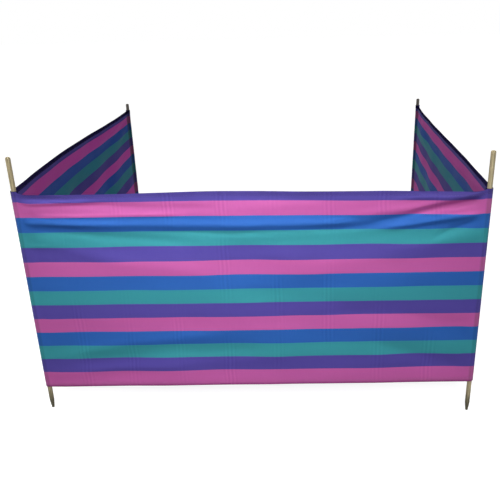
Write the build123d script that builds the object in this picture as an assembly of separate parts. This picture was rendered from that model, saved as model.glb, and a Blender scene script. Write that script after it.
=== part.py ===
"""Beach windbreak: one long striped cloth on four wooden poles, set out as a square with an open back.

Frame, in millimetres: the origin is the centre of the front left pole's foot, at ground level. +X runs
along the front cloth to the right, +Y goes back along the wings to the open side, and +Z is up.

The cloth is one strip with a sewn pocket for each pole, so it is drawn here as three bays of cloth, four
pockets, and the hems that run along its top and bottom edges. At a corner the strip passes outside the
pole, and the pocket is a tuck taken up on its inner side. At the back the strip's end is folded round.
"""

import os
from math import acos, asin, atan2, cos, degrees, radians, sin, sqrt

from build123d import *

# Layout
BAY = 2070.0  # pole centre to pole centre, the same in all three bays
REAR_SPREAD = 35.0  # the wings stand open a little, so each rear pole is this far outside the square
GROUND_GAP = 140.0  # ground to the cloth's lower edge
CLOTH_HEIGHT = 1000.0

# Poles
POLE_DIAMETER = 22.0
FRONT_POLE_TOP = 1290.0
REAR_POLE_TOP = 1200.0  # the rear poles are driven in deeper
POLE_CROWN = 7.0  # radius that eases the pole's top edge
POINT_HEIGHT = 45.0  # part of the sharpened point that stands above the ground
POINT_DIAMETER = 12.0  # width of the point where it enters the ground

# Cloth
CLOTH = 1.6  # thickness
HEM = 1.4  # thickness of the layer that a hem turns in
HEM_DEPTH = 25.0
POCKET_RADIUS = 12.9  # inside a pole pocket
SLACK = 1.4  # the cloth's pull holds a pole this far off its pocket's centre
SEAM_REACH = 28.0  # centre of a rear pocket to the stitched line that closes it
TUCK_SEAM = 225.0  # direction of a corner pocket's seam, seen from its centre, in degrees
GROOVE = 1.2  # depth of the groove outside that seam, where the strip turns in from both sides
FLAP = 14.0  # length of each bay that is drawn with the pocket
END_LAP = 12.0  # raw end of the strip, turned back past the line of a rear pocket

# Worked out from the above
CLOTH_TOP = GROUND_GAP + CLOTH_HEIGHT
MIDDLE = GROUND_GAP + CLOTH_HEIGHT / 2
NOSE = (CLOTH + HEM) / 2  # radius of a hem's folded edge
POCKET_OUTSIDE = POCKET_RADIUS + CLOTH
STRIP_RADIUS = POCKET_OUTSIDE + 2 * HEM + CLOTH / 2  # middle of the strip, where it passes round a corner
CORNER = Vector(1, 1).normalized() * SLACK  # centre of the front left pocket
REAR_POLE = Vector(-REAR_SPREAD, sqrt(BAY**2 - REAR_SPREAD**2))
WING_RUN = REAR_POLE - CORNER
WING_ANGLE = degrees(atan2(WING_RUN.Y, WING_RUN.X) - asin(STRIP_RADIUS / WING_RUN.length))
WING_LENGTH = sqrt(WING_RUN.length**2 - STRIP_RADIUS**2) - SLACK - SEAM_REACH  # corner to rear seam
FRONT_LENGTH = BAY - 2 * CORNER.X  # corner to corner

# The front cloth and the left wing both start where they leave the corner's round, each along its own +X.
FRONT_FRAME = Pos(CORNER) * Pos(0, -STRIP_RADIUS)
WING_FRAME = Pos(CORNER) * Rot(0, 0, WING_ANGLE) * Pos(0, STRIP_RADIUS)
# Side of each frame's +Y that faces the sheltered space
FRONT_INNER = 1
WING_INNER = -1


def pole(top):
    """A round pole with an eased top, on the stub of its sharpened point."""
    radius = POLE_DIAMETER / 2
    crown_start = (radius, top - POLE_CROWN)
    crown_end = (radius - POLE_CROWN, top)
    side = Polyline((0, 0), (POINT_DIAMETER / 2, 0), (radius, POINT_HEIGHT), crown_start)
    crown = RadiusArc(crown_start, crown_end, -POLE_CROWN)
    closing = Polyline(crown_end, (0, top), (0, 0))
    outline = make_face(side + crown + closing)
    return revolve(Plane.XZ * outline, Axis.Z)


def strip(start, end, low, high):
    """A rectangle in plan, along X from start to end and across Y from low to high."""
    return Pos((start + end) / 2, (low + high) / 2) * Rectangle(end - start, high - low)


def ring(inside, outside):
    """Plan of a round layer."""
    return Circle(outside) - Circle(inside)


def flap(inner, thickness=CLOTH, lift=0.0):
    """Cloth that starts a bay along +X; lift stacks a further layer on its inner side."""
    low = inner * (lift - CLOTH / 2)
    high = inner * (lift - CLOTH / 2 + thickness)
    return strip(0, FLAP, min(low, high), max(low, high))


def round_corner(thickness=CLOTH, lift=0.0):
    """Plan of the strip as it passes outside the front left pole, or of a further layer on its inner side."""
    outside = STRIP_RADIUS + CLOTH / 2 - lift
    far = 2 * outside
    wing_start = radians(WING_ANGLE + 90)
    wing_side = (far * cos(wing_start), far * sin(wing_start))
    wedge = Polyline((0, 0), (0, -far), (-far, -far), wing_side, close=True)
    turn = ring(outside - thickness, outside) & make_face(wedge)
    along_front = FRONT_FRAME * flap(FRONT_INNER, thickness, lift)
    return Pos(CORNER) * turn + along_front + WING_FRAME * flap(WING_INNER, thickness, lift)


def corner_plan():
    """Front left pocket: a loop on the strip's inner side, held to it by the two layers of its tuck."""
    seam = Pos(CORNER) * Rot(0, 0, TUCK_SEAM)
    tuck = seam * strip(POCKET_RADIUS + CLOTH / 2, STRIP_RADIUS, -CLOTH, CLOTH)
    bottom = STRIP_RADIUS + CLOTH / 2 - GROOVE
    top = bottom + 2 * GROOVE
    groove = make_face(Polyline((bottom, 0), (top, GROOVE), (top, -GROOVE), close=True))
    loop = Pos(CORNER) * ring(POCKET_RADIUS, POCKET_OUTSIDE)
    return loop + tuck + round_corner() - seam * groove


def corner_hem_plan():
    """The turned-in layer at that pocket's mouth: round the loop's outside, and inside the strip."""
    on_loop = Pos(CORNER) * ring(POCKET_OUTSIDE, POCKET_OUTSIDE + HEM)
    return on_loop + round_corner(HEM, CLOTH) - corner_plan()


def teardrop(radius, tip, reach):
    """Plan of cloth drawn round a pole and in to its seam: two circles and their tangents, tail along +X."""
    spread = acos((radius - tip) / reach)
    shoulder = (radius * cos(spread), radius * sin(spread))
    heel = (reach + tip * cos(spread), tip * sin(spread))
    outline = [shoulder, heel, (heel[0], -heel[1]), (shoulder[0], -shoulder[1])]
    tail = make_face(Polyline(*outline, close=True))
    return Circle(radius) + tail + Pos(reach, 0) * Circle(tip)


SEAM_GAP = 0.1  # the two layers all but touch at the seam
END_WALL = teardrop(POCKET_OUTSIDE, CLOTH, SEAM_REACH)
END_HOLE = teardrop(POCKET_RADIUS, SEAM_GAP, SEAM_REACH)
END_HEM = teardrop(POCKET_OUTSIDE + HEM, CLOTH + HEM, SEAM_REACH) - END_WALL


def end_plan():
    """Rear pocket, from its centre: the strip's end comes round the pole and laps the wing outside."""
    lap = strip(SEAM_REACH, SEAM_REACH + END_LAP, -CLOTH * 1.5, -CLOTH / 2)
    return END_WALL + Pos(SEAM_REACH, 0) * flap(FRONT_INNER) + lap - END_HOLE


def end_hem_plan():
    """The turned-in layer at that mouth: the end is folded outwards, so it lies outside the pocket."""
    turned = Pos(SEAM_REACH, 0) * flap(FRONT_INNER, HEM, CLOTH)
    lap = strip(SEAM_REACH, SEAM_REACH + END_LAP, -CLOTH * 1.5 - HEM, -CLOTH * 1.5)
    return END_HEM + turned + lap - END_WALL - end_plan()


def upright(plan, low=GROUND_GAP, high=CLOTH_TOP):
    """Stands a plan up between two heights."""
    return Pos(0, 0, low) * extrude(plan, high - low)


def hem_bands(plan):
    """The same plan as a top and a bottom hem."""
    top = upright(plan, CLOTH_TOP - HEM_DEPTH, CLOTH_TOP)
    return top, turned_over(top)


def turned_over(solid):
    """A bottom hem is its top hem upside down."""
    return solid.mirror(Plane.XY.offset(MIDDLE))


def bay_cloth(length):
    """One flat bay of cloth, between the flaps at its ends and under the folded edges of its hems."""
    plan = strip(FLAP, length - FLAP, -CLOTH / 2, CLOTH / 2)
    return upright(plan, GROUND_GAP + NOSE, CLOTH_TOP - NOSE)


def bay_hem(length, inner):
    """Top hem of a bay: a layer turned down inside, under a folded edge as thick as both layers."""
    nose = Circle(NOSE) & Pos(0, NOSE / 2) * Rectangle(2 * NOSE, NOSE)
    nose_place = Pos(inner * HEM / 2, CLOTH_TOP - NOSE)
    layer_height = HEM_DEPTH - NOSE
    layer_place = Pos(inner * (CLOTH + HEM) / 2, CLOTH_TOP - NOSE - layer_height / 2)
    section = nose_place * nose + layer_place * Rectangle(HEM, layer_height)
    return Pos(FLAP, 0, 0) * extrude(Plane.YZ * section, length - 2 * FLAP)


def right_hand(solid):
    """The windbreak's right side mirrors its left."""
    return solid.mirror(Plane.YZ.offset(BAY / 2))


def add_pair(nodes, name, left):
    """A left-hand piece and its right-hand twin."""
    nodes[name + "_left"] = left
    nodes[name + "_right"] = right_hand(left)


def build():
    """Every piece of the windbreak, by name."""
    nodes = {}
    rear = Pos(REAR_POLE)
    facing_front = rear * Rot(0, 0, WING_ANGLE + 180) * Pos(SLACK, 0)

    add_pair(nodes, "pole_front", pole(FRONT_POLE_TOP))
    add_pair(nodes, "pole_rear", rear * pole(REAR_POLE_TOP))

    nodes["cloth_front"] = FRONT_FRAME * bay_cloth(FRONT_LENGTH)
    add_pair(nodes, "cloth_wing", WING_FRAME * bay_cloth(WING_LENGTH))

    add_pair(nodes, "pocket_front", upright(corner_plan()))
    add_pair(nodes, "pocket_rear", facing_front * upright(end_plan()))

    top = FRONT_FRAME * bay_hem(FRONT_LENGTH, FRONT_INNER)
    nodes["top_hem_front"] = top
    nodes["bottom_hem_front"] = turned_over(top)

    top = WING_FRAME * bay_hem(WING_LENGTH, WING_INNER)
    add_pair(nodes, "top_hem_wing", top)
    add_pair(nodes, "bottom_hem_wing", turned_over(top))

    for place, plan, where in (
        (Pos(0, 0, 0), corner_hem_plan(), "front"),
        (facing_front, end_hem_plan(), "rear"),
    ):
        top, bottom = hem_bands(plan)
        add_pair(nodes, "pocket_top_hem_" + where, place * top)
        add_pair(nodes, "pocket_bottom_hem_" + where, place * bottom)
    return nodes


def main():
    os.makedirs("parts", exist_ok=True)
    nodes = build()
    for name, solid in nodes.items():
        export_step(solid, "parts/" + name + ".step")
    print(len(nodes), "pieces")
    print("front cloth, corner to corner:", round(FRONT_LENGTH))
    print("wing, corner to rear seam:", round(WING_LENGTH))
    print("wing direction from +X:", round(WING_ANGLE, 3), "degrees")


main()
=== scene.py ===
# %% [markdown]
# # A beach windbreak, dressed
# A windbreak is one long strip of striped cloth that turns round four wooden poles. The rigid model holds
# its sizes. This script loads that model, leaves the poles where they are, and makes the cloth again as
# cloth: thin, slack in places, hemmed, stitched and folded by its own pull.

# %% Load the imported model
from math import acos, asin, atan2, ceil, cos, hypot, pi, radians, sin, sqrt

import bpy
import numpy as np
from mathutils import Matrix, Vector


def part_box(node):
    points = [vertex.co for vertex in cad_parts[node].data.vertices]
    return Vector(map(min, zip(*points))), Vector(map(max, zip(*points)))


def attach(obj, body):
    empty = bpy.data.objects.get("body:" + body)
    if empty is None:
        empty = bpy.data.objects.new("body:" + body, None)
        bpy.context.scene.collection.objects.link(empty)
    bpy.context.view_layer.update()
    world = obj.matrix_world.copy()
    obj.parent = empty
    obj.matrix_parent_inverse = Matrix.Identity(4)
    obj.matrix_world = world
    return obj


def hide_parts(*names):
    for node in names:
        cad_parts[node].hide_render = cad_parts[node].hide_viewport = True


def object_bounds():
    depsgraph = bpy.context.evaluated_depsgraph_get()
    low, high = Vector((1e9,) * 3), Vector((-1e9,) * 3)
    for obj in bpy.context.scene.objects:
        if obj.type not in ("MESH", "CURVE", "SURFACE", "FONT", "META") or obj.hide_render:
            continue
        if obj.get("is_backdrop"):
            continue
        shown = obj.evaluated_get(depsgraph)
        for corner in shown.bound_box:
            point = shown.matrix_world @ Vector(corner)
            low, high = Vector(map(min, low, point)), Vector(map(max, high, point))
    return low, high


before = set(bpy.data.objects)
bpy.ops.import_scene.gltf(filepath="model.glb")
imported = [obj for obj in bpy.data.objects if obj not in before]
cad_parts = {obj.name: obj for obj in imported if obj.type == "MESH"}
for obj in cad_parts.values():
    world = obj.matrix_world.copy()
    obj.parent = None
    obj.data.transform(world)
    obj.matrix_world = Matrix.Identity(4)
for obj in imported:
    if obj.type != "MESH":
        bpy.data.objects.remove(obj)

cad_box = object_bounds()
print(len(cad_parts), "pieces in the packed model, box", [[round(x, 3) for x in c] for c in cad_box])

# %% [markdown]
# ## Camera
# The eye stands a little right of the middle and about 1.9 m up, looking down into the square, so that the
# front cloth hides the wings' lower parts. Blender's camera looks down its own -Z, so it is first stood up,
# then turned about the vertical, and last rolled about its own line of sight.

# %% Camera
EYE = Vector((1.2889, -2.6204, 1.8954))
YAW = -0.0537  # towards +X, in radians
PITCH = 0.3792  # downwards
ROLL = -0.0260
LENS_MM = 45.28
SHIFT = -0.05

camera_data = bpy.data.cameras.new("camera")
camera_data.lens = LENS_MM
camera_data.shift_x = SHIFT
camera = bpy.data.objects.new("camera", camera_data)
stood_up = Matrix.Rotation(pi / 2 - PITCH, 4, "X") @ Matrix.Rotation(ROLL, 4, "Z")
camera.matrix_world = Matrix.Translation(EYE) @ Matrix.Rotation(-YAW, 4, "Z") @ stood_up
bpy.context.scene.collection.objects.link(camera)
bpy.context.scene.camera = camera
bpy.context.scene.view_settings.view_transform = "Standard"
print("the eye is", round(EYE.z, 2), "m up and", round(-EYE.y, 2), "m in front")

# %% [markdown]
# ## Node trees
# Materials and geometry trees are both built from nodes. One method adds any node: its settings come first,
# because some of them change its sockets, and then the values or links of those sockets. A small class wraps
# a socket that carries a number, so that a sum written in Python adds the Math nodes that work it out.


# %% Numbers that can be added and multiplied
class Number:
    """A socket that takes part in Python sums. Each operator adds its Math node."""

    def __init__(self, tree, socket):
        self.tree = tree
        self.socket = socket

    def maths(self, operation, *others):
        values = dict(enumerate([self, *others]))
        return self.tree.number("ShaderNodeMath", {"operation": operation}, values)

    def __add__(self, other):
        return self.maths("ADD", other)

    def __sub__(self, other):
        return self.maths("SUBTRACT", other)

    def __rsub__(self, other):
        return (self * -1) + other

    def __mul__(self, other):
        return self.maths("MULTIPLY", other)

    __radd__ = __add__
    __rmul__ = __mul__

    def rise(self, low, high):
        """0 below low, 1 above high, and an eased slope between."""
        values = {0: self, 1: low, 2: high}
        return self.tree.number("ShaderNodeMapRange", {"interpolation_type": "SMOOTHSTEP"}, values)


print("a", Number.__name__, "can be added, subtracted and multiplied")


# %% One way to add nodes
class Tree:
    """A node tree, with one method that adds any node."""

    def __init__(self, tree):
        self.tree = tree
        tree.nodes.clear()

    def add(self, kind, settings=None, values=None):
        """Adds a node, then its settings, then its sockets' values or links, by name or place."""
        node = self.tree.nodes.new(kind)
        for setting, value in (settings or {}).items():
            setattr(node, setting, value)
        for place, value in (values or {}).items():
            socket = node.inputs[place]
            if isinstance(value, Number):
                value = value.socket
            if isinstance(value, bpy.types.NodeSocket):
                self.tree.links.new(value, socket)
            else:
                socket.default_value = value
        return node

    def number(self, kind, settings=None, values=None):
        """The same, for a node whose output is a number."""
        return Number(self, self.add(kind, settings, values).outputs[0])

    def mix_colours(self, mask, first, second, blend="MIX"):
        """A Mix node has sockets for every kind of value; the colours are 6 and 7 in, and 2 out."""
        settings = {"data_type": "RGBA", "blend_type": blend}
        return self.add("ShaderNodeMix", settings, {0: mask, 6: first, 7: second}).outputs[2]

    def places(self):
        """X, Y and Z of a point on the object, in metres."""
        place = self.add("ShaderNodeTexCoord").outputs["Object"]
        parts = self.add("ShaderNodeSeparateXYZ", None, {0: place})
        return [Number(self, parts.outputs[i]) for i in range(3)]


def new_material(name, kind=Tree):
    """A material, and its empty node tree."""
    material = bpy.data.materials.new(name)
    material.use_nodes = True
    return material, kind(material.node_tree)


print("sums of", Number.__name__, "add Math nodes to a", Tree.__name__)

# %% [markdown]
# ## The strip in plan
# Seen from above, the cloth is a single line. It is drawn here as a walk: straight runs and round turns laid
# end to end, from the middle of the front to the end of a wing. At a corner the strip passes outside the
# pole, and dives inwards half way round to make the pocket: a loop that is a tuck in the strip. At the back
# its end is folded round the last pole and sewn down. Walked length is cloth length, so stripes, hems and
# stitches can be placed along it as they are on a cutting table. The other half mirrors it.

# %% Sizes from the model
CLOTH = 0.0007  # thickness
LAYER = 0.0008  # from the middle of one layer to the middle of the next, lying on it
SLACK = 0.0014  # from a pole to the middle of its pocket, which is wider than the pole
TUCKED = 0.0014  # radius at which the strip turns into a tuck; two turned-in hem layers lie inside it
TUCK_GAP = 0.0001  # between the two sides of a tuck
EASE = 0.0003  # between a pole and the cloth that it rests against
NECK_BEND = 0.006  # radius at which a rear pocket opens from its seam
NECK_REACH = 0.024  # centre of a rear pocket to the near end of its seam
REAR_SEAM = 0.010  # width of the sewn lap on a wing
END_LAP = 0.012  # what the raw end runs on past that seam


def middle(node):
    low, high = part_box(node)
    return (low + high) / 2


pole = middle("pole_front_left").xy
rear_pole = middle("pole_rear_left").xy
pole_low, pole_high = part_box("pole_front_left")
POLE_RADIUS = (pole_high.x - pole_low.x) / 2
bay_low, bay_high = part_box("cloth_front")
pocket_low, pocket_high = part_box("pocket_front_left")
MIDDLE = (bay_low.x + bay_high.x) / 2
BASE = pocket_low.z
HEIGHT = pocket_high.z - pocket_low.z
LOOP = POLE_RADIUS + SLACK + CLOTH / 2 + EASE  # radius of the cloth in a pocket
OUTSIDE = LOOP + 2 * TUCKED  # radius of the strip outside a corner
corner = pole + Vector((1, 1)).normalized() * SLACK
FLAP = bay_low.x - corner.x
print("cloth", round(HEIGHT, 3), "m high, pockets of", round(LOOP * 2000, 1), "mm round poles of",
      round(POLE_RADIUS * 2000, 1))


# %% The walk
class Walk:
    """A line in plan made of straight runs and round turns."""

    STEP = 0.00025  # between its points

    def __init__(self, start, heading):
        self.points = [(0.0, start.x, start.y, heading)]

    def go(self, length, turn=0.0):
        """Walks on by a length, turning evenly by an angle in all, to the left if it is positive."""
        steps = max(1, ceil(length / self.STEP))
        for _ in range(steps):
            walked, x, y, heading = self.points[-1]
            half_turned = heading + turn / steps / 2
            stride = length / steps
            x += stride * cos(half_turned)
            y += stride * sin(half_turned)
            self.points.append((walked + stride, x, y, heading + turn / steps))
        return self.points[-1][0]

    def bend(self, radius, turn):
        return self.go(radius * abs(turn), turn)

    def place(self):
        return Vector(self.points[-1][1:3])


quarter = Walk(Vector((0, 0)), 0).bend(1.0, pi / 2)
print("a quarter turn at a radius of 1 is", round(quarter, 3), "long")


# %% Pockets in plan
def corner_pocket(walk, wing_turn):
    """Round the outside of a corner, with the tuck half way. Gives the marks of both edges of its loop."""
    aside = (TUCKED + CLOTH / 2 + TUCK_GAP / 2) / (LOOP + TUCKED)
    walk.bend(OUTSIDE, -(pi / 4 - aside))
    loop_start = walk.bend(TUCKED, -pi)
    loop_end = walk.bend(LOOP, 2 * pi - 2 * aside)
    walk.bend(TUCKED, -pi)
    walk.bend(OUTSIDE, -(wing_turn - pi / 4 - aside))
    return loop_start, loop_end


def neck(offset):
    """From a sewn run to the loop round a pole: how far it opens, and the straight run between."""
    across = offset + NECK_BEND
    span = hypot(NECK_REACH, across)
    touch = atan2(across, NECK_REACH) + acos((LOOP + NECK_BEND) / span)
    return pi / 2 - touch, sqrt(span**2 - (LOOP + NECK_BEND) ** 2)


def end_pocket(walk):
    """Round the last pole and back to the seam, which the strip's end laps on its far side."""
    open_in, straight_in = neck(0.0)
    open_out, straight_out = neck(LAYER)
    walk.bend(NECK_BEND, -open_in)
    walk.go(straight_in)
    walk.bend(LOOP, pi + open_in + open_out)
    walk.go(straight_out)
    walk.bend(NECK_BEND, -open_out)


print("a rear pocket opens by", round(neck(0.0)[0], 3), "radians from its seam")

# %% Walk the strip
wing_run = rear_pole - corner
wing_heading = atan2(wing_run.y, wing_run.x) - asin(OUTSIDE / wing_run.length)
walk = Walk(Vector((MIDDLE, corner.y - OUTSIDE)), pi)
FRONT_END = walk.go(MIDDLE - corner.x) - FLAP
TUCK_IN, TUCK_OUT = corner_pocket(walk, pi - wing_heading)
WING_START = walk.points[-1][0] + FLAP
wing_straight = (rear_pole - walk.place()).length - SLACK - NECK_REACH - REAR_SEAM
rear_seam_start = walk.go(wing_straight)
WING_END = rear_seam_start - FLAP
REAR_SEAM_IN = walk.go(REAR_SEAM) - REAR_SEAM / 2
end_pocket(walk)
LAP_SEAM = walk.go(REAR_SEAM) - REAR_SEAM / 2
STRIP_END = walk.go(END_LAP)
plan_table = np.array(walk.points)
print("strip is", round(STRIP_END * 2, 3), "m long; front bay", round(FRONT_END * 2, 3), "m, wings",
      round(WING_END - WING_START, 3), "m between their pockets' flaps")

# %% [markdown]
# ## How the cloth lies
# A point on the cloth is given by how far along the strip it is, how high up the cloth, and how far it
# stands off towards the sheltered side. One function turns that into a place, so bays, pockets, hems and
# stitches follow every fold together.
#
# The folds are what the cloth's pull makes of a flat strip. It hangs from its top corners, so folds leave
# them slanting down, and others hang across the bay like a swag. A simulation finds folds, but not the ones
# that this cloth has taken from being stored and tied, so they are drawn one by one, as ridges that follow a
# line, over some smooth unevenness.


# %% Slopes and unevenness
WAVES = 7  # that add up to an unevenness


def eased(x, low, high):
    """0 below low, 1 above high, and an eased slope between."""
    t = np.clip((x - low) / (high - low), 0, 1)
    return t * t * (3 - 2 * t)


def rumple(x, y, size, seed):
    """Smooth unevenness about size across, between about -1 and 1, the same for the same seed."""
    rng = np.random.default_rng(seed)
    total = 0.0
    for _ in range(WAVES):
        angle = rng.uniform(0, 2 * pi)
        wave = size * rng.uniform(0.7, 1.6)
        phase = rng.uniform(0, 2 * pi)
        total = total + np.sin((x * cos(angle) + y * sin(angle)) * 2 * pi / wave + phase)
    return total / 4


print("a quarter of the way up, an eased slope is at", float(eased(0.25, 0, 1)))

# %% A fold
CORNER_ROUNDING = 0.04  # along the cloth, each side of a corner in a fold's line
BEFORE = 0.02  # a fold starts this far outside the ends of its line
WITHIN = 0.14  # and is at its full height this far inside them


def ridge(distance, width):
    """A rounded fold seen end on."""
    return np.exp(-((distance / width) ** 2))


def fold(x, drop, line, width):
    """A fold along a line of (along, below the top) points, from 0 beside it to 1 on it."""
    places, drops = zip(*line)

    def centre(at):
        return sum(np.interp(at + CORNER_ROUNDING * i, places, drops) for i in (-1, 0, 1)) / 3

    slope = (centre(x + 0.01) - centre(x - 0.01)) / 0.02
    shape = ridge((drop - centre(x)) / np.sqrt(1 + slope**2), width)
    run_in = eased(x, places[0] - BEFORE, places[0] + WITHIN)
    run_out = 1 - eased(x, places[-1] - WITHIN, places[-1] + BEFORE)
    if places[0] == 0:
        run_in = 1  # it comes out of the pocket
    if places[-1] > 2:
        run_out = 1  # it goes on into the next
    return shape * run_in * run_out


print("a fold is", float(fold(0.5, 0.1, [(0, 0.1), (2.1, 0.1)], 0.02)), "high on its line")

# %% Folds of a bay
# Along and below the top, then width and height towards the sheltered side. The front is measured from its
# left end, and a wing from its front corner.
FOLDS = {
    "front": [
        ([(1.50, 0.176), (1.68, 0.138), (1.85, 0.085), (2.1, 0.040)], 0.018, 0.0118),
        ([(1.45, 0.125), (1.75, 0.085), (1.95, 0.030), (2.1, -0.010)], 0.022, -0.0065),
        ([(1.56, 0.196), (1.70, 0.172), (1.90, 0.138), (2.1, 0.108)], 0.015, -0.0110),
        ([(1.78, 0.270), (1.90, 0.200), (2.1, 0.130)], 0.018, 0.0085),
        ([(1.64, 0.036), (1.90, 0.028), (2.1, 0.012)], 0.014, -0.0085),
        ([(0, 0.049), (0.40, 0.046)], 0.011, -0.0125),
        ([(0, 0.140), (0.15, 0.150), (0.45, 0.158), (1.0, 0.166), (1.50, 0.158)], 0.020, -0.0140),
        ([(0, 0.020), (0.15, 0.045), (0.45, 0.075), (0.9, 0.085)], 0.020, 0.0060),
        ([(0.05, 0.112), (0.30, 0.116), (0.75, 0.112)], 0.010, -0.0065),
        ([(0, 0.146), (0.20, 0.151), (0.40, 0.157)], 0.013, -0.0070),
        ([(0.55, 0.196), (1.10, 0.206)], 0.015, 0.0045),
        ([(1.22, 0.186), (1.40, 0.184), (1.64, 0.176)], 0.020, 0.0065),
        ([(0.55, 0.040), (1.00, 0.042), (1.40, 0.040)], 0.020, 0.0040),
        ([(0, 0.262), (0.14, 0.258)], 0.008, -0.0080),
        ([(0, 0.110), (0.12, 0.160), (0.35, 0.215), (0.80, 0.250)], 0.024, 0.0065),
        ([(0, 0.180), (0.15, 0.260), (0.45, 0.350), (0.90, 0.400)], 0.040, -0.0070),
        ([(0.05, 0.820), (0.45, 0.755), (0.90, 0.715)], 0.030, -0.0065),
        ([(0.10, 0.880), (0.50, 0.820), (1.10, 0.800)], 0.036, 0.0055),
        ([(0, 0.930), (0.30, 0.900), (0.70, 0.890)], 0.026, -0.0050),
        ([(1.20, 0.400), (1.60, 0.330), (2.1, 0.200)], 0.050, -0.0070),
        ([(1.30, 0.560), (1.70, 0.620), (2.1, 0.740)], 0.050, 0.0065),
        ([(1.50, 0.760), (1.80, 0.850), (2.1, 0.960)], 0.040, 0.0060),
    ],
    "left": [
        ([(0, 0.030), (0.25, 0.085), (0.9, 0.120), (1.6, 0.095), (2.1, 0.020)], 0.022, 0.0040),
        ([(0, 0.060), (0.35, 0.160), (1.0, 0.200), (1.7, 0.150), (2.1, 0.050)], 0.028, -0.0050),
        ([(0, 0.110), (0.35, 0.250), (0.9, 0.300)], 0.036, 0.0050),
        ([(0.9, 0.290), (1.6, 0.250), (2.1, 0.100)], 0.034, 0.0045),
        ([(0.2, 0.480), (0.9, 0.560), (1.6, 0.520)], 0.060, -0.0040),
        ([(0.1, 0.860), (0.7, 0.760), (1.4, 0.740)], 0.050, 0.0045),
    ],
    "right": [
        ([(0, 0.025), (0.30, 0.080), (1.0, 0.110), (1.7, 0.085), (2.1, 0.020)], 0.022, 0.0038),
        ([(0, 0.070), (0.30, 0.150), (0.9, 0.190), (1.6, 0.150), (2.1, 0.040)], 0.026, -0.0048),
        ([(0, 0.120), (0.40, 0.260), (1.0, 0.310)], 0.036, 0.0048),
        ([(1.0, 0.270), (1.6, 0.240), (2.1, 0.110)], 0.032, 0.0050),
        ([(0.3, 0.600), (1.0, 0.520), (1.8, 0.580)], 0.060, -0.0044),
        ([(0.6, 0.780), (1.3, 0.740), (2.1, 0.900)], 0.050, 0.0040),
    ],
}
# How far a bay bows out at its middle, and how much more of that is towards its front or left end
BOWS = {"front": (0.004, 0.0), "left": (0.048, 0.007), "right": (0.005, 0.005)}
SEEDS = {"front": 11, "left": 23, "right": 37}
print("folds drawn:", {bay: len(lines) for bay, lines in FOLDS.items()})

# %% Unevenness of a bay
HELD = 0.07  # nearer than this to a pocket, the cloth can fold less
STRAIGHT = 0.10  # nearer than this to a hem, it is more even
BROAD, MIDDLING, FINE = 0.0042, 0.0016, 0.0008  # heights of its unevenness, by size
PULL = 0.0016  # height of the short wrinkles beside a pocket
PULL_REACH = 0.10


def bay_folds(bay, x, length, up):
    """How far a bay's cloth stands off towards the sheltered side. x is from its front or left end."""
    seed = SEEDS[bay]
    share = x / length
    drop = HEIGHT - up
    from_end = np.minimum(x, length - x)
    still = eased(from_end, 0.0, HELD)
    middle_bow, uneven_bow = BOWS[bay]
    bow = middle_bow * np.sin(pi * share) + uneven_bow * np.sin(2 * pi * share)
    off = -bow * (0.75 + 0.25 * eased(up, 0.1, 0.7))
    for number, (line, width, depth) in enumerate(FOLDS[bay]):
        vary = 0.8 + 0.2 * rumple(x, up, 0.5, seed + 40 + number)
        off = off + depth * fold(x, drop, line, width) * still * vary
    loose = still * (0.35 + 0.65 * eased(np.minimum(up, drop), 0.0, STRAIGHT))
    off = off + rumple(x, up * 0.8, 0.42, seed + 1) * BROAD * loose
    off = off + rumple(x * 0.6, up, 0.17, seed + 2) * MIDDLING * loose
    patches = 0.6 + 0.4 * rumple(x, up, 0.6, seed + 6)
    off = off + rumple(x * 0.12, up, 0.050, seed + 5) * FINE * loose * patches
    pull = rumple(x * 0.25, up, 0.070, seed + 3) * PULL * np.exp(-from_end / PULL_REACH)
    return off + pull * eased(from_end, 0.0, 0.02)


middle_off = float(bay_folds("front", 1.0, 2.0, 0.5))
print("the middle of the front stands", round(middle_off * 1000, 1), "mm off its line")

# %% Folds of a pocket
POCKET_SLACK = 0.0009  # height of a pocket's unevenness
FLARE = 0.0008  # how far its mouths open
FLARE_REACH = 0.02
LOOP_REACH = 0.06  # along the cloth from the middle of a loop to where its folds have died out


def pocket_folds(seed, along, up):
    """How far a pocket's cloth stands off its pole. In every loop that is the strip's sheltered side."""
    round_pole = ridge(along, LOOP_REACH / 2)
    slack = rumple(along * 0.4, up, 0.11, seed) * POCKET_SLACK
    from_mouth = np.minimum(up, HEIGHT - up)
    flare = FLARE * np.exp(-from_mouth / FLARE_REACH)
    return (abs(slack) + flare) * round_pole


mouth = float(pocket_folds(51, 0.0, HEIGHT))
print("a pocket's mouth stands", round(mouth * 1000, 1), "mm off its pole's cloth")

# %% Where the cloth is
PIECES = {
    "front": (-FRONT_END, FRONT_END),
    "left": (-WING_END, -WING_START),
    "right": (WING_START, WING_END),
}
FRONT_LOOP = (TUCK_IN + TUCK_OUT) / 2
REAR_LOOP = (REAR_SEAM_IN + LAP_SEAM) / 2
LOOPS = ((51, -FRONT_LOOP), (52, FRONT_LOOP), (61, -REAR_LOOP), (62, REAR_LOOP))
print("middles of the poles' loops along the strip:", [round(place, 3) for _, place in LOOPS])


def along_plan(s):
    """Plan place and sheltered-side direction at a distance along the strip from the front's middle."""
    walked = np.abs(s)
    side = np.where(s < 0, -1.0, 1.0)
    x, y, heading = (np.interp(walked, plan_table[:, 0], plan_table[:, i]) for i in (1, 2, 3))
    x_place = MIDDLE + side * (MIDDLE - x)
    return x_place, y, -side * np.sin(heading), -np.cos(heading)


def stand_off(s, up):
    """Folds at any place on the strip."""
    s, up = np.broadcast_arrays(s, up)
    off = np.zeros(s.shape)
    for bay, (start, end) in PIECES.items():
        here = (s > start) & (s < end)
        from_front = end - s[here] if bay == "left" else s[here] - start
        off[here] = bay_folds(bay, from_front, end - start, up[here])
    for seed, centre in LOOPS:
        near = np.abs(s - centre) < LOOP_REACH
        off[near] = pocket_folds(seed, s[near] - centre, up[near])
    return off


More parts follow.
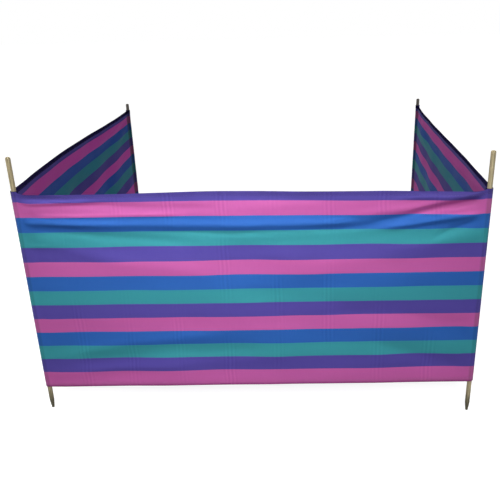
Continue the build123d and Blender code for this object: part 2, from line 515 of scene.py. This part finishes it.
# %% Sag, slip and gathers
LEFT_TOP = -0.002  # the top edge at each corner, against its height in the model
RIGHT_TOP = -0.012
REAR_TOP = 0.014
RIGHT_SLOPE = 0.5  # length of the front's top edge that slopes down to its right corner
WING_SAG = 0.013  # how far a wing's top edge sags between its poles
WING_SAG_REACH = 0.20
# How far the front's top edge sags, and how much more its top stripe is gathered, at places from the left
FRONT_SAG = ((0.95, 0.0), (1.10, 0.002), (1.25, 0.006), (1.50, 0.012), (2.07, 0.004))
FRONT_SHRINK = ((0.35, 0.016), (0.60, 0.011), (0.80, 0.005), (1.30, 0.005), (1.50, 0.0), (2.0, 0.008))
FRONT_SAG_REACH = 0.015
SAG_DEPTH, SHRINK_DEPTH = 6, 24  # the higher, the less of the cloth's height they reach down
LEFT_SLIP = 0.012  # the lower edge has slipped down its left pole
RIGHT_RISE = 0.032  # and ridden up its right one
# The rear poles are driven in deeper, and cloth has gathered below their tops: how far it stands higher than
# it would hang flat, at places from the top edge down
GATHER = ((0.02, 0.0), (0.085, 0.022), (0.229, 0.068), (0.373, 0.094), (0.518, 0.102), (1.0, 0.070))
GATHER_REACH = 1.7  # the higher, the less of the wing it reaches


def smooth_line(x, line, step=0.06):
    """A height read from a line of (place, height) points, with its corners rounded."""
    places, heights = zip(*line)
    return sum(np.interp(x + step * shift, places, heights) for shift in (-1.5, -0.5, 0.5, 1.5)) / 4


print("the front's top edge sags by up to", round(max(sag for _, sag in FRONT_SAG) * 1000), "mm")


# %% How high the cloth is
def level(s, up):
    """Height above the ground of a place on the cloth."""
    share = np.clip(up / HEIGHT, 0, 1)
    walked = np.abs(s)
    on_front = walked < FRONT_LOOP
    from_front = np.abs(walked - FRONT_LOOP) - (WING_START - FRONT_END) / 2
    from_rear = np.abs(walked - REAR_LOOP) - (STRIP_END - WING_END) / 2
    from_pole = np.maximum(np.minimum(from_front, from_rear), 0)
    wing_sag = WING_SAG * (1 - np.exp(-from_pole / WING_SAG_REACH)) * share**2
    x = s + FRONT_END
    front_sag = smooth_line(x, FRONT_SAG) * share**SAG_DEPTH
    front_sag = front_sag + smooth_line(x, FRONT_SHRINK) * share**SHRINK_DEPTH
    front_sag = front_sag * (1 - np.exp(-from_pole / FRONT_SAG_REACH))
    sag = np.where(on_front, front_sag, wing_sag)
    corners = (-REAR_LOOP, -FRONT_LOOP, FRONT_LOOP - RIGHT_SLOPE, FRONT_LOOP, REAR_LOOP)
    top = np.interp(s, corners, (REAR_TOP, LEFT_TOP, LEFT_TOP, RIGHT_TOP, REAR_TOP)) * share**3
    back = np.interp(walked, (FRONT_LOOP, REAR_LOOP), (1, 0))
    across = np.clip(s / (2 * FRONT_LOOP) + 0.5, 0, 1)
    bottom = RIGHT_RISE * across * (1 - share**2) - LEFT_SLIP * (1 - across) * (1 - share) ** 1.5
    gathered = smooth_line(HEIGHT * (1 - share), GATHER, 0.02) * (1 - back) ** GATHER_REACH
    return BASE + up + top - sag + bottom * back + gathered


print("the lower edge is", round(float(level(0.0, 0.0)), 3), "m up at the front's middle")


# %% Lay a place on the cloth
def lay(s, up, lift=0.0):
    """Places on the cloth, as an array of points."""
    x, y, normal_x, normal_y = along_plan(s)
    off = stand_off(s, up) + lift
    return np.stack([x + normal_x * off, y + normal_y * off, level(s, up)], axis=-1)


strip_end = lay(np.array([-STRIP_END]), np.array([0.0]))[0]
print("left end of the strip is laid at", [round(float(c), 4) for c in strip_end])

# %% [markdown]
# ## Sheets
# Cloth is a grid of points with a thin wall. Each sheet is given as distances along the strip and as a
# profile up the cloth; a hem's profile turns over and comes down again. Both faces of the wall are laid by
# the same function, and a rim closes them, so every sheet is a closed body. Its map of surface places is in
# metres of cloth, and goes on round a hem, so the stripes and the weave do too. Solidify could give the wall
# too, but it would not know that the stripes turn over with a hem.


# %% Both faces of a wall
def profile_sides(profile):
    """The two faces of a profile, and how far up the cloth each of its points was cut."""
    steps = np.gradient(profile, axis=0)
    steps /= np.linalg.norm(steps, axis=1)[:, None]
    normals = np.stack([-steps[:, 1], steps[:, 0]], axis=1)
    lengths = np.linalg.norm(np.diff(profile, axis=0), axis=1)
    walked = np.concatenate([[0.0], np.cumsum(lengths)])
    downwards = profile[0, 0] < HEIGHT / 2 and profile[-1, 0] < HEIGHT / 2
    cut = profile[0, 0] + (-walked if downwards else walked)
    return [profile + normals * side * CLOTH / 2 for side in (-1, 1)], cut, downwards


def wall_faces(columns, rows, flip):
    """Four-sided faces of two grids that lie back to back, and of the rim that joins them."""
    number = np.arange(columns * rows).reshape(columns, rows)
    back = columns * rows
    grid = np.stack([number[:-1, :-1], number[1:, :-1], number[1:, 1:], number[:-1, 1:]], -1)
    outer = grid.reshape(-1, 4)
    quads = [outer, outer[:, ::-1] + back]
    rims = [(number[:, 0], True), (number[:, -1], False), (number[0, :], False), (number[-1, :], True)]
    for rim, flipped in rims:
        quad = np.stack([rim[:-1], rim[1:], rim[1:] + back, rim[:-1] + back], -1)
        quads.append(quad[:, ::-1] if flipped else quad)
    quads = np.concatenate(quads)
    return quads[:, ::-1] if flip else quads


print("a wall over 3 by 2 points has", len(wall_faces(3, 2, False)), "faces")


# %% A sheet with a thin wall
def sheet_mesh(name, s_places, profile):
    """A closed sheet over these places along the strip and this profile of (height, lift) up it."""
    sides, cut, downwards = profile_sides(profile)
    s_grid, j_grid = np.meshgrid(s_places, np.arange(len(profile)), indexing="ij")
    points = [lay(s_grid, side[j_grid, 0], side[j_grid, 1]).reshape(-1, 3) for side in sides]
    quads = wall_faces(*s_grid.shape, flip=downwards)
    mesh = bpy.data.meshes.new(name)
    mesh.from_pydata(np.concatenate(points), [], quads)
    flat_map = np.stack([s_grid.ravel(), cut[j_grid.ravel()]], -1)
    flat_map = np.concatenate([flat_map, flat_map])
    layer = mesh.uv_layers.new(name="cloth")
    layer.data.foreach_set("uv", flat_map[quads.ravel()].ravel())
    mesh.shade_smooth()
    mesh.set_sharp_from_angle(angle=radians(60))
    piece = bpy.data.objects.new(name, mesh)
    bpy.context.scene.collection.objects.link(piece)
    return piece


def spaced(start, end, pitch):
    """Evenly spaced places from start to end, about pitch apart."""
    return np.linspace(start, end, max(2, round(abs(end - start) / pitch) + 1))


print("1 m in steps of about 0.3 m:", [round(float(x), 3) for x in spaced(0, 1, 0.3)])

# %% [markdown]
# ## Hems
# The cloth's long edges are turned to the sheltered side and stitched 21 mm from the fold. Stretched between
# poles, a hem lies flat, and only its free edge lifts a little past its stitches.
#
# A thicker band along the edge would pass for a hem from far off. Here a hem is a sheet of its own, whose
# profile goes over the fold and down again, because its round fold and its raw edge both show from near.

# %% Profiles up the cloth
HEM_DEPTH = 0.025
STITCH_LINE = 0.021  # below the fold
FOLD = LAYER / 2  # radius of the fold, at the middle of the cloth
FOLD_STEPS = 6  # round the fold
EDGE_LIFT = 0.0003  # how far the free edge lifts
SHARP_FOLDS = 0.25  # the top of the cloth, where the sharpest folds are


def hem_profile():
    """From the outer face, over the fold and down the sheltered side, for a top hem."""
    points = []
    centre = HEIGHT - CLOTH / 2 - FOLD
    for i in range(FOLD_STEPS + 1):
        angle = pi * i / FOLD_STEPS
        points.append((centre + FOLD * sin(angle), FOLD - FOLD * cos(angle)))
    for depth in spaced(0.004, HEM_DEPTH, 0.003):
        past = max(0.0, depth - STITCH_LINE) / (HEM_DEPTH - STITCH_LINE)
        points.append((HEIGHT - depth, LAYER + EDGE_LIFT * past**2))
    return np.array(points)


def upright_profile(pitch):
    """Cloth between the hems' folds, with twice as many rows where the sharpest folds are."""
    low, high = bottom_hem[0, 0], top_hem[0, 0]
    dense = high - SHARP_FOLDS
    rows = np.concatenate([spaced(low, dense, pitch), spaced(dense, high, pitch / 2)[1:]])
    return np.stack([rows, rows * 0], axis=1)


top_hem = hem_profile()
bottom_hem = top_hem * (-1, 1) + (HEIGHT, 0)
print("a hem's profile has", len(top_hem), "points, the front cloth's", len(upright_profile(0.010)))

# %% Bays, pockets and their hems
FRONT_COLUMN = 0.007  # between points along the strip
WING_COLUMN = 0.010
WING_HEM_COLUMN = 0.008
POCKET_COLUMN = 0.0022
ROW = 0.010  # between points up the cloth
WING_ROW = 0.011
sheets = {}


def add_sheets(label, places, row, hem_places):
    """A piece of cloth with its two hems."""
    sheets[label] = sheet_mesh(label, places, upright_profile(row))
    for edge, profile in (("top", top_hem), ("bottom", bottom_hem)):
        name = label.removesuffix("_cloth") + "_" + edge + "_hem"
        sheets[name] = sheet_mesh(name, hem_places, profile)


places = spaced(*PIECES["front"], FRONT_COLUMN)
add_sheets("front_cloth", places, ROW, places)
for side in ("left", "right"):
    places = spaced(*PIECES[side], WING_COLUMN)
    add_sheets(side + "_wing_cloth", places, WING_ROW, spaced(*PIECES[side], WING_HEM_COLUMN))

ENDS = {"front": (FRONT_END, WING_START), "rear": (WING_END, STRIP_END)}
for where, (start, end) in ENDS.items():
    for side, sign in (("left", -1), ("right", 1)):
        places = np.sort(spaced(start, end, POCKET_COLUMN) * sign)
        add_sheets(where + "_" + side + "_pocket", places, ROW, places)
print(len(sheets), "sheets,", sum(len(p.data.polygons) for p in sheets.values()), "faces")

# %% [markdown]
# ## Cloth finish
# The cloth is thin polyester, yarn dyed in pink, purple, teal and blue stripes that repeat. Its stripes come
# from the height on the surface map, so they follow every fold. Over them lie the things that keep woven
# cloth from looking painted: threads of uneven thickness, slight fading, a weave in the bump, and the upright
# creases that folding it away has left. Shade is painted into the colour too: round the poles' pockets, on
# the top band behind the hem, along the lower edge and over the turned-in hems. The creases' light and shade
# are painted in as paler and darker lines.
#
# Light also comes through it, so the shader is mixed with Translucent ones, which glow where one layer stands
# against the light and stay dark where a hem doubles it. Each stripe lets its own colour through, so there
# are four of them, and the masks that place the stripes mix them.


# %% Colours
def shade(red, green, blue):
    """A colour given as it looks on a screen, as the light that it reflects."""
    light = [((c / 255 + 0.055) / 1.055) ** 2.4 if c > 10 else c / 255 / 12.92 for c in (red, green, blue)]
    return (*light, 1.0)


DYES = (shade(196, 102, 166), shade(92, 80, 166), shade(64, 158, 166), shade(52, 106, 186))
THROUGH = (shade(196, 60, 190), shade(72, 48, 150), shade(40, 120, 150), shade(24, 64, 160))
print(len(DYES), "dyes, the first of them", [round(part, 3) for part in DYES[0][:3]])

# %% Stripes, threads and creases
STRIPE = 0.0722  # width of each stripe
FIRST_STRIPE = 0.0129  # where the first whole stripe starts, above the lower edge
THREAD = 0.0007  # from one thread to the next
CREASES = 0.235  # between the groups of creases that storage has left
CREASE = 0.019  # from one crease to the next in a group


class Cloth(Tree):
    """The parts of a cloth's finish, from its surface map in metres."""

    def __init__(self, tree):
        super().__init__(tree)
        surface = self.add("ShaderNodeUVMap", {"uv_map": "cloth"}).outputs[0]
        parts = self.add("ShaderNodeSeparateXYZ", None, {0: surface})
        self.along, self.up = (Number(self, parts.outputs[i]) for i in range(2))

    def noise(self, along_scale, up_scale, detail, seed):
        places = {0: self.along * along_scale, 1: self.up * up_scale, 2: float(seed)}
        place = self.add("ShaderNodeCombineXYZ", None, places).outputs[0]
        values = {"Vector": place, "Scale": 1.0, "Detail": detail}
        return self.number("ShaderNodeTexNoise", None, values)

    def stripe_masks(self):
        """Three 0 or 1 masks that tell four stripes apart. The first and last stripe go on into the hems."""
        within = self.up.maths("MAXIMUM", FIRST_STRIPE + 0.001).maths("MINIMUM", HEIGHT + 0.02)
        frayed = within + (self.noise(900, 900, 0, 3) - 0.5) * 0.0010
        repeat = ((frayed - FIRST_STRIPE) * (1 / (4 * STRIPE))).maths("FRACT")
        return [repeat.maths("GREATER_THAN", share) for share in (0.25, 0.5, 0.75)]

    def mix_shaders(self, mask, first, second):
        return self.add("ShaderNodeMixShader", None, {0: mask, 1: first, 2: second}).outputs[0]

    def creases(self):
        """Upright storage creases: 1 on each of a few close lines, fading out up and down the cloth."""
        wander = (self.noise(0.5, 5, 2, 11) - 0.5) * 0.02
        place = ((self.along + wander) * (1 / CREASES)).maths("FRACT")
        beside = (place - 0.5).maths("ABSOLUTE") * CREASES
        lines = (beside * (2 * pi / CREASE)).maths("COSINE")
        kept = 1 - beside.rise(0.012, 0.045)
        return lines * kept * self.noise(1.7, 2.3, 1, 13).rise(0.42, 0.62)

    def near(self, loop, low, high):
        """1 where the cloth goes round a pole, by how far it is from its loop's middle, and 0 in the bays."""
        walked = self.along.maths("ABSOLUTE")
        return 1 - (walked - loop).maths("ABSOLUTE").rise(low, high)


def striped(masks, mix, kinds):
    """Mixes four colours or four shaders by the stripes' masks."""
    lower = mix(masks[0], kinds[0], kinds[1])
    upper = mix(masks[2], kinds[2], kinds[3])
    return mix(masks[1], lower, upper)


print("stripes", round(STRIPE * 1000), "mm wide, repeating every", round(STRIPE * 4000), "mm")


# %% Cloth material
def cloth_material(name, painted_shade_factor, see_through, gloss):
    """Striped cloth. Shade is painted on doubled layers (less outside a rear pocket), pockets, edges and
    creases.
    """
    material, look = new_material(name, Cloth)
    masks = look.stripe_masks()
    dyed = striped(masks, look.mix_colours, DYES)
    slubs = look.noise(30, 1600, 2, 1) + look.noise(1600, 22, 2, 2)
    creases = look.creases()
    fading = look.noise(2.2, 3.0, 3, 5) - 0.5
    # Painted shade round the poles: the corner pockets' colour is 40% darker, and the rear pockets' colour is
    # 70% darker on their inner half and 25% on their outer half.
    corner_pocket = look.near(FRONT_LOOP, 0.058, 0.072)
    rear_pocket = look.near(REAR_LOOP, 0.072, 0.090)
    outer = look.along.maths("ABSOLUTE").rise(REAR_LOOP - 0.004, REAR_LOOP + 0.012)
    # Painted shade along the lower edge: the colour is up to 45% darker in the lowest 16 mm.
    lower_edge_shade = 1 - look.up.rise(0.004, 0.016)
    # The cloth's own tone (uneven threads, fading) goes together with painted light and shade: the storage
    # creases become paler and darker lines, and a factor below 1 paints a hem darker, lifted past the middle
    # of a rear pocket.
    brightness_with_painted_shade = (painted_shade_factor + outer * 0.7 * (1 - painted_shade_factor)) * (0.86 + slubs * 0.14 + fading * 0.16 + creases * 0.08)
    brightness_with_painted_shade = brightness_with_painted_shade * (1 - corner_pocket * 0.4) * (1 - rear_pocket * (0.70 - outer * 0.45))
    # Painted shade on the top band, where the hem lies behind it: the top 24 mm are 22% darker. The lower
    # edge's painted shade is applied here too.
    brightness_with_painted_shade = brightness_with_painted_shade * (1 - look.up.rise(HEIGHT - 0.027, HEIGHT - 0.024) * 0.22) * (1 - lower_edge_shade * 0.45)
    grey = look.add("ShaderNodeCombineColor", None, {0: brightness_with_painted_shade, 1: brightness_with_painted_shade, 2: brightness_with_painted_shade}).outputs[0]
    colour = look.mix_colours(1.0, dyed, grey, "MULTIPLY")
    weave = (look.along * (pi / THREAD)).maths("SINE") * (look.up * (pi / THREAD)).maths("SINE")
    crumple = look.noise(38, 26, 4, 7)
    height = weave * 0.00006 + slubs * 0.00005 + crumple * 0.0011 + creases * 0.0004
    bump = look.add("ShaderNodeBump", None, {"Strength": 0.8, "Distance": 1.0, "Height": height}).outputs[0]
    values = {
        "Base Color": colour,
        "Roughness": 0.56 + (look.noise(14, 14, 2, 9) - 0.5) * 0.2,
        "Specular IOR Level": gloss,
        "Normal": bump,
    }
    cloth = look.add("ShaderNodeBsdfPrincipled", None, values).outputs[0]
    glows = []
    for dye in THROUGH:
        values = {"Color": tuple(c * painted_shade_factor for c in dye[:3]) + (1.0,), "Normal": bump}
        glows.append(look.add("ShaderNodeBsdfTranslucent", None, values).outputs[0])
    through = striped(masks, look.mix_shaders, glows)
    both = look.mix_shaders((1 - corner_pocket) * (1 - rear_pocket) * see_through, cloth, through)
    look.add("ShaderNodeOutputMaterial", None, {0: both})
    print(name, "has", len(look.tree.nodes), "nodes")
    return material


striped_cloth = cloth_material("striped cloth", 1.0, 0.35, 0.06)
# The hems take a shaded copy of the cloth: their colour and the light through them are painted at 0.3 of the
# cloth's, as painted shade for the light that doubled layers keep out.
shaded_hem_cloth = cloth_material("turned-in cloth in painted shade", 0.3, 0.03, 0.0)
for name, piece in sheets.items():
    piece.data.materials.append(shaded_hem_cloth if name.endswith("hem") else striped_cloth)

# %% [markdown]
# ## Stitches
# The hems and the laps at the rear poles are held by rows of machine stitches, thousands of them, all alike.
# That is work for Geometry Nodes: a row is drawn as a line of edges on the cloth, and the tree walks along it
# and puts one short stitch at each pitch. Each stitch is a tiny ball drawn out along the row, half sunk in
# the cloth, and has only 24 faces.


# %% A tree that sews along edges
SEWING = {"Pitch": 0.005, "Stitch length": 0.0038, "Thread width": 0.0005, "Unevenness": 0.12}


def stitch_tree():
    """A tree with named inputs, and the identifier of each of them."""
    group = bpy.data.node_groups.new("row of stitches", "GeometryNodeTree")
    kinds = {"Rows": "NodeSocketGeometry"}
    kinds.update({name: "NodeSocketFloat" for name in SEWING})
    kinds["Thread finish"] = "NodeSocketMaterial"
    identifiers = {}
    for name, kind in kinds.items():
        socket = group.interface.new_socket(name, in_out="INPUT", socket_type=kind)
        identifiers[name] = socket.identifier
    group.interface.new_socket("Stitches", in_out="OUTPUT", socket_type="NodeSocketGeometry")

    sew = Tree(group)
    given = sew.add("NodeGroupInput").outputs
    curve = sew.add("GeometryNodeMeshToCurve", None, {0: given["Rows"]}).outputs[0]
    pitches = {"Curve": curve, "Length": given["Pitch"]}
    points = sew.add("GeometryNodeCurveToPoints", {"mode": "LENGTH"}, pitches).outputs
    ball = sew.add("GeometryNodeMeshUVSphere", None, {"Segments": 6, "Rings": 4, "Radius": 0.5}).outputs[0]
    uneven = Number(sew, given["Unevenness"])
    # A Random Value node has sockets for every kind of value; the numbers are 2 and 3 in, and 1 out
    chance = {2: 1 - uneven, 3: 1 + uneven, "Seed": 4}
    drawn = sew.add("FunctionNodeRandomValue", {"data_type": "FLOAT"}, chance).outputs[1]
    length = Number(sew, drawn) * given["Stitch length"]
    width = given["Thread width"]
    size = sew.add("ShaderNodeCombineXYZ", None, {0: width, 1: width, 2: length}).outputs[0]
    values = {"Points": points["Points"], "Instance": ball, "Rotation": points["Rotation"], "Scale": size}
    placed = sew.add("GeometryNodeInstanceOnPoints", None, values).outputs[0]
    real = sew.add("GeometryNodeRealizeInstances", None, {0: placed}).outputs[0]
    smooth = sew.add("GeometryNodeSetShadeSmooth", None, {"Geometry": real}).outputs[0]
    finish = {"Geometry": smooth, "Material": given["Thread finish"]}
    finished = sew.add("GeometryNodeSetMaterial", None, finish).outputs[0]
    sew.add("NodeGroupOutput", None, {0: finished})
    return group, identifiers


stitches, stitch_inputs = stitch_tree()
print("inputs of the stitch tree:", ", ".join(stitch_inputs))


# %% Thread
PLY = 0.0006  # from one twist of the thread to the next


def thread_material():
    """Twisted polyester thread, with its ply as slanting bands."""
    material, look = new_material("thread")
    x, y, z = look.places()
    ply = ((x + y + z) * (2 * pi / PLY)).maths("SINE")
    ramp = look.add("ShaderNodeValToRGB", None, {0: ply * 0.5 + 0.5})
    low, high = ramp.color_ramp.elements
    low.color = shade(92, 76, 150)
    high.color = shade(142, 124, 190)
    bump = look.add("ShaderNodeBump", None, {"Strength": 0.6, "Distance": 1.0, "Height": ply * 0.00005})
    values = {"Base Color": ramp.outputs[0], "Roughness": 0.5, "Normal": bump.outputs[0]}
    thread = look.add("ShaderNodeBsdfPrincipled", None, values).outputs[0]
    look.add("ShaderNodeOutputMaterial", None, {0: thread})
    return material


thread = thread_material()
print("thread finish:", thread.name)


# %% Rows to sew
SEAM_MARGIN = 0.003  # from the strip's edge to the first stitch of an upright seam
SEAM_GAP = 0.001  # from the end of a run of stitches to a hem's edge


def hem_rows(start, end):
    """Both faces of both hems, from one place along the strip to another."""
    places = spaced(start, end, 0.004)
    for up in (STITCH_LINE, HEIGHT - STITCH_LINE):
        for lift in (-CLOTH / 2, LAYER + CLOTH / 2):
            yield lay(places, np.full(places.shape, up), lift)


def seam_rows(s, face):
    """One face of an upright seam: down its cloth, and down the hem layer at each end."""
    marks = (SEAM_MARGIN, HEM_DEPTH, HEIGHT - HEM_DEPTH, HEIGHT - SEAM_MARGIN)
    for low, high, layer in zip(marks, marks[1:], (1, 0, 1)):
        up = spaced(low + SEAM_GAP, high - SEAM_GAP, 0.008)
        yield lay(np.full(up.shape, s), up, face * CLOTH / 2 + layer * LAYER)


print("rows of stitches on the front's hems:", len(list(hem_rows(*PIECES["front"]))))


# %% Sew, and keep the stitches as a plain mesh
def sew(name, rows):
    """Sews rows of points, and gives the stitches as one plain mesh."""
    points, edges = [], []
    for row in rows:
        first = len(points)
        points.extend(row.tolist())
        edges.extend((i, i + 1) for i in range(first, len(points) - 1))
    mesh = bpy.data.meshes.new(name + "_rows")
    mesh.from_pydata(points, edges, [])
    draft = bpy.data.objects.new(name + "_draft", mesh)
    bpy.context.scene.collection.objects.link(draft)
    modifier = draft.modifiers.new("sewing", "NODES")
    modifier.node_group = stitches
    for setting, value in SEWING.items():
        modifier[stitch_inputs[setting]] = value
    modifier[stitch_inputs["Thread finish"]] = thread
    depsgraph = bpy.context.evaluated_depsgraph_get()
    sewn = bpy.data.meshes.new_from_object(draft.evaluated_get(depsgraph))
    sewn.name = name
    draft.modifiers.clear()
    bpy.data.objects.remove(draft)
    piece = bpy.data.objects.new(name, sewn)
    bpy.context.scene.collection.objects.link(piece)
    print(name, "has", len(sewn.polygons) // 24, "stitches")
    return piece


sewn = [sew("stitches_front", hem_rows(*PIECES["front"]))]

# %% Sew the wings and pockets
for side in ("left", "right"):
    sewn.append(sew("stitches_" + side + "_wing", hem_rows(*PIECES[side])))
for side, sign in (("left", -1), ("right", 1)):
    rows = [*hem_rows(*np.sort((sign * FRONT_END, sign * WING_START)))]
    rows += hem_rows(*np.sort((sign * WING_END, sign * (STRIP_END - SEAM_GAP))))
    rows += seam_rows(sign * LAP_SEAM, 1)
    sewn.append(sew("stitches_" + side + "_pockets", rows))

# %% [markdown]
# ## Poles
# The poles are turned softwood dowels, which keep their imported shape. The grain runs along them, so its
# noise is stretched upwards. The feet are darker towards the ground, and the rear poles are a darker grey.


# %% Wood material
def wood_material(name, pale, dark):
    """Bare softwood between two colours, darker towards the foot."""
    material, look = new_material(name)
    x, y, z = look.places()

    def grain(across, upwards, detail):
        places = {0: x * across, 1: y * across, 2: z * upwards}
        stretched = look.add("ShaderNodeCombineXYZ", None, places).outputs[0]
        return look.number("ShaderNodeTexNoise", None, {"Vector": stretched, "Scale": 1.0, "Detail": detail})

    fibres = grain(900, 14, 3)
    rings = grain(170, 2.2, 2)
    # Darker towards the foot: below about 20 mm the colour goes 90% of the way to a dark grey-brown, fading
    # out by about 160 mm.
    darker_below = 1 - (z + (grain(60, 30, 3) - 0.5) * 0.10).rise(0.02, 0.16)
    ramp = look.add("ShaderNodeValToRGB", None, {0: rings * 0.6 + fibres * 0.4})
    low, high = ramp.color_ramp.elements
    low.position, low.color = 0.35, dark
    high.position, high.color = 0.65, pale
    wood_darker_below = look.mix_colours(darker_below * 0.9, ramp.outputs[0], shade(62, 60, 48))
    height = fibres * 0.0003 + rings * 0.0002
    bump = look.add("ShaderNodeBump", None, {"Strength": 0.7, "Distance": 1.0, "Height": height}).outputs[0]
    roughness = 0.55 + fibres * 0.2
    values = {"Base Color": wood_darker_below, "Roughness": roughness, "Specular IOR Level": 0.2, "Normal": bump}
    wood = look.add("ShaderNodeBsdfPrincipled", None, values).outputs[0]
    look.add("ShaderNodeOutputMaterial", None, {0: wood})
    return material


wood = wood_material("pole wood", shade(186, 172, 138), shade(128, 118, 90))
# The rear poles take a darker, greyer copy of the wood.
grey_wood = wood_material("grey pole wood", shade(112, 106, 98), shade(66, 62, 60))
for name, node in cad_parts.items():
    if name.startswith("pole_"):
        node.data.materials.clear()
        node.data.materials.append(grey_wood if "rear" in name else wood)
        print(name, "is in", node.data.materials[0].name)

# %% [markdown]
# ## Floor and light
# The windbreak stands on a plain white floor that runs on into a white sky. What the camera sees of them is
# full white, but the light that they give is weaker, so the cloth isn't washed out and its shadow stays.
#
# A broad sun stands in front of the windbreak, so it lights the front cloth and only grazes the wings' inner
# faces. A lamp nearer the front makes its upper middle the brightest place, and a narrow one over the top
# edge shines down the cloth, so that a fold is bright where it faces up and dark where it faces down. A low
# lamp on each side lights the wings from outside. What their inner faces show is then mostly what comes
# through the cloth.

# %% Sky and floor
SKY_LIGHT = 0.12  # what the sky gives as light, where 1 is what it shows
FLOOR_GLOW = 0.85  # what the floor adds to its lit colour, to show as white


def seen_directly(look):
    """1 for what is seen by the eye, in a mirror or through glass, and 0 for what gives light."""
    path = look.add("ShaderNodeLightPath").outputs
    kinds = ("Is Camera Ray", "Is Glossy Ray", "Is Transmission Ray")
    eye, mirror, glass = (Number(look, path[kind]) for kind in kinds)
    return eye.maths("MAXIMUM", mirror).maths("MAXIMUM", glass)


world = bpy.data.worlds.new("sky")
world.use_nodes = True
bpy.context.scene.world = world
look = Tree(world.node_tree)
strength = SKY_LIGHT + seen_directly(look) * (1 - SKY_LIGHT)
sky = look.add("ShaderNodeBackground", None, {"Color": (1, 1, 1, 1), "Strength": strength}).outputs[0]
look.add("ShaderNodeOutputWorld", None, {0: sky})

floor_material, look = new_material("floor")
matt = look.add("ShaderNodeBsdfDiffuse", None, {"Color": (0.4, 0.4, 0.4, 1)}).outputs[0]
values = {"Color": (1, 1, 1, 1), "Strength": seen_directly(look) * FLOOR_GLOW}
glow = look.add("ShaderNodeEmission", None, values).outputs[0]
both = look.add("ShaderNodeAddShader", None, {0: matt, 1: glow}).outputs[0]
look.add("ShaderNodeOutputMaterial", None, {0: both})

FLOOR_HALF = 30.0
quarters = ((-1, -1), (1, -1), (1, 1), (-1, 1))
floor_corners = [(MIDDLE + i * FLOOR_HALF, 1 + j * FLOOR_HALF, 0) for i, j in quarters]
floor_mesh = bpy.data.meshes.new("floor")
floor_mesh.from_pydata(floor_corners, [], [(0, 1, 2, 3)])
floor_mesh.materials.append(floor_material)
floor = bpy.data.objects.new("floor", floor_mesh)
bpy.context.scene.collection.objects.link(floor)
floor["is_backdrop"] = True
print("floor is", FLOOR_HALF * 2, "m across")


# %% Lamps
def aimed(data, place, target):
    """Links a lamp at a place, looking at a target."""
    lamp = bpy.data.objects.new(data.name, data)
    place, target = Vector(place), Vector(target)
    facing = (target - place).to_track_quat("-Z", "Y").to_matrix().to_4x4()
    lamp.matrix_world = Matrix.Translation(place) @ facing
    lamp.visible_camera = False
    bpy.context.scene.collection.objects.link(lamp)
    return lamp


def soft_lamp(name, energy, size, place, target):
    data = bpy.data.lights.new(name, "AREA")
    data.shape = "RECTANGLE"
    data.size, data.size_y = size
    data.energy = energy
    return aimed(data, place, target)


sun = bpy.data.lights.new("sun", "SUN")
sun.energy = 1.71
sun.angle = radians(24)
aimed(sun, (MIDDLE - 0.6, -6.0, 6.0), (MIDDLE, 0, 0.6))
soft_lamp("front_lamp", 10.6, (0.6, 1.0), (MIDDLE - 0.12, -1.05, 1.40), (MIDDLE - 0.12, 0, 0.95))
soft_lamp("top_lamp", 4.5, (2.1, 0.12), (MIDDLE, -0.5, 2.2), (MIDDLE, 0, 0.8)).data.spread = radians(50)
for side, x, energy in (("left", -1.7, 29), ("right", 2 * MIDDLE + 1.7, 25)):
    soft_lamp(side + "_lamp", energy, (2.6, 0.9), (x, 1.2, 0.55), (MIDDLE, 1.2, 0.55))

# %% [markdown]
# ## Saying what each piece is
# Each new piece stands for a node of the imported model, rides on its one body, and takes its finish from a
# material slot.

# %% Which node each piece stands for
NODE_NAMES = {"front_cloth": "cloth_front"}
for edge in ("top", "bottom"):
    NODE_NAMES["front_" + edge + "_hem"] = edge + "_hem_front"
for side in ("left", "right"):
    NODE_NAMES[side + "_wing_cloth"] = "cloth_wing_" + side
    for edge in ("top", "bottom"):
        NODE_NAMES[side + "_wing_" + edge + "_hem"] = edge + "_hem_wing_" + side
    for where in ("front", "rear"):
        pocket = where + "_" + side + "_pocket"
        NODE_NAMES[pocket] = "pocket_" + where + "_" + side
        for edge in ("top", "bottom"):
            NODE_NAMES[pocket + "_" + edge + "_hem"] = "pocket_" + edge + "_hem_" + where + "_" + side

for name, piece in sheets.items():
    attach(piece, "root")
    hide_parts(NODE_NAMES[name])
for piece in sewn:
    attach(piece, "root")
print(len(NODE_NAMES), "nodes are dressed, and", len(sewn), "pieces of sewing are added")


def declare(name, posts):
    """Looks up a piece of cloth's two hems, and does nothing more with them."""
    label = name.removesuffix("_cloth")
    hems = [sheets[label + "_top_hem"], sheets[label + "_bottom_hem"]]


declare("front_cloth", ["pole_front_left", "pole_front_right"])
for side in ("left", "right"):
    declare(side + "_wing_cloth", ["pole_front_" + side, "pole_rear_" + side])
    for where, (start, end) in ENDS.items():
        declare(where + "_" + side + "_pocket", ["pole_" + where + "_" + side])

# %% Sizes, and the end
[[list(map(float, c)) for c in box] for box in (cad_box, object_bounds())]
